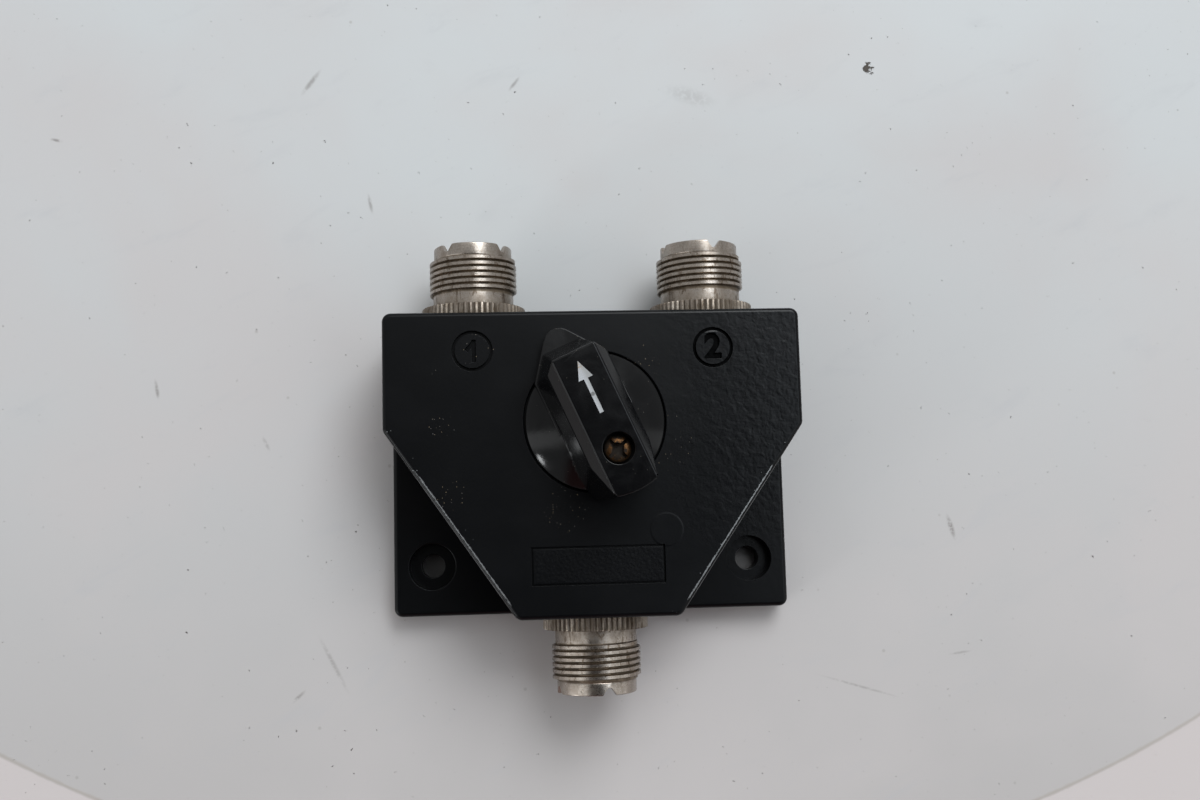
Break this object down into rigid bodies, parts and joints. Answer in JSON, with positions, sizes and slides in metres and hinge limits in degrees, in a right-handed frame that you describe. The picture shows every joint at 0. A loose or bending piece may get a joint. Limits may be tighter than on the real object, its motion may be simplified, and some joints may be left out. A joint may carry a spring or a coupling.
{
  "type": "coaxial antenna switch",
  "caption": "Die-cast coaxial antenna switch: a pointer knob connects the common threaded socket at the narrow end to either output socket at the wide end.",
  "frame": {"origin": "middle of the body's back face, which is the bottom centre of the whole switch lying on its back", "axes": "+Y towards the two outputs, -Y towards the common connector, +Z out of the front through the knob, +X towards output 2"},
  "size_m": [0.073, 0.0808, 0.0412],
  "materials": {
    "black_paint": "semi-gloss black paint on a die casting",
    "cover_paint": "satin black paint on sheet metal",
    "zinc_steel": "zinc plated steel",
    "nickel": "worn nickel plate on brass",
    "insulator": "off-white moulded insulator",
    "contact_brass": "tarnished silver plated brass",
    "copper_strip": "bare copper strip",
    "spring_steel": "bright spring steel",
    "knob_plastic": "glossy black moulding",
    "arrow_white": "white filling",
    "screw_brass": "grimy brass",
    "rotor_phenolic": "brown phenolic",
    "cam_nylon": "natural nylon",
    "dark_steel": "blackened steel",
    "blade_bronze": "phosphor bronze"
  },
  "bodies": {
    "switch_body": {"housing": "black_paint", "back_cover": "cover_paint", "back_cover_screws": "zinc_steel", "output_1_connector_shell": "nickel", "output_2_connector_shell": "nickel", "common_connector_shell": "nickel", "output_1_insulator": "insulator", "output_2_insulator": "insulator", "common_insulator": "insulator", "output_1_centre_contact": "contact_brass", "output_2_centre_contact": "contact_brass", "common_centre_contact": "contact_brass", "connector_lock_washers": "zinc_steel", "connector_lock_nuts": "nickel", "output_1_contact_strip": "copper_strip", "output_2_contact_strip": "copper_strip", "common_contact_strip": "copper_strip", "detent_spring": "spring_steel", "detent_spring_screw": "zinc_steel"},
    "selector": {"knob": "knob_plastic", "pointer_arrow": "arrow_white", "knob_screw": "screw_brass", "rotor": "rotor_phenolic", "thrust_washer": "spring_steel", "detent_cam": "cam_nylon", "retaining_ring": "dark_steel", "upper_contact_blade": "blade_bronze", "lower_contact_blade": "blade_bronze", "blade_spacer_rivet": "zinc_steel", "pivot_rivet": "zinc_steel"}
  },
  "joints": [
    {"name": "selector_turn", "type": "hinge", "parent": "switch_body", "child": "selector", "pos_m": [0, 0.0071, 0.0244], "axis": [0, 0, 1], "range_deg": [-48, 0], "deforming": ["detent_spring"]}
  ]
}
